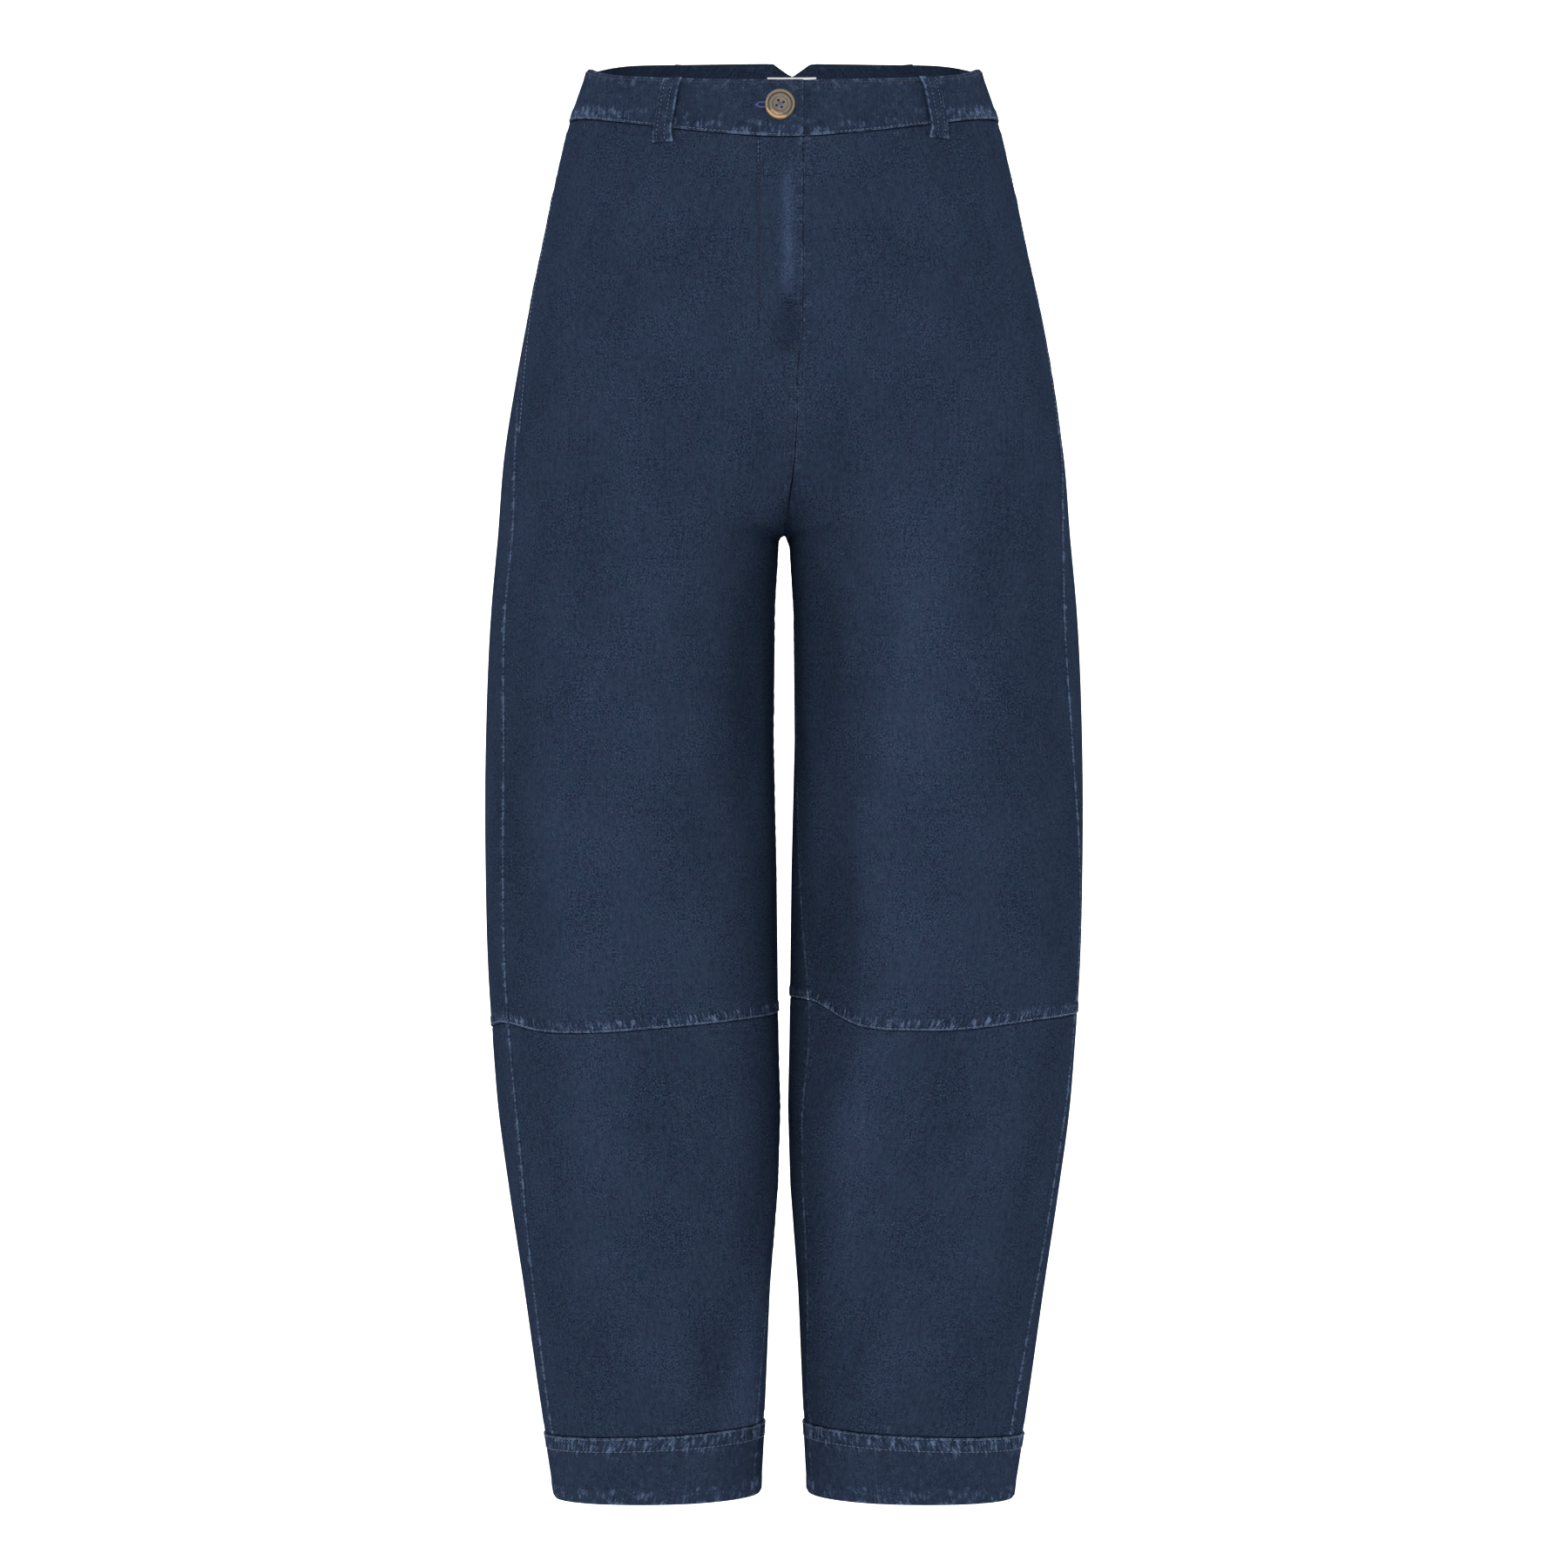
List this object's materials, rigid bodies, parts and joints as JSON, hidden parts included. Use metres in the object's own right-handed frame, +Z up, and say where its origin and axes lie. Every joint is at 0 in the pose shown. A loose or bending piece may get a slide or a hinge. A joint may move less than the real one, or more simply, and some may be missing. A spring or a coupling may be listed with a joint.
{
  "type": "jeans",
  "caption": "Dark denim barrel-leg jeans, hollow as when worn, with a zip fly closed by a waist button, belt loops, side-seam pockets and cuffed hems.",
  "frame": {"origin": "middle of the waist, at the height of the waistband's middle at the sides", "axes": "+Z up, -Y out of the front, +X towards the wearer's left"},
  "size_m": [0.4112, 0.2416, 1.0013],
  "materials": {
    "denim": "dark indigo twill",
    "denim_band": "dark indigo twill, double",
    "zip": "satin",
    "button": "horn-like, polished",
    "label": "white woven tape, blank"
  },
  "bodies": {
    "root": {"front_right_upper": "denim", "front_left_upper": "denim", "back_right_upper": "denim", "back_left_upper": "denim", "front_right_lower": "denim", "front_left_lower": "denim", "back_right_lower": "denim", "back_left_lower": "denim", "cuff_right": "denim_band", "cuff_left": "denim_band", "waistband_right": "denim_band", "waistband_left": "denim_band", "belt_loop_front_right": "denim_band", "belt_loop_front_left": "denim_band", "belt_loop_back_right": "denim_band", "belt_loop_back_left": "denim_band", "fly_zip": "zip", "waist_button": "button", "waist_label": "label"}
  },
  "joints": []
}
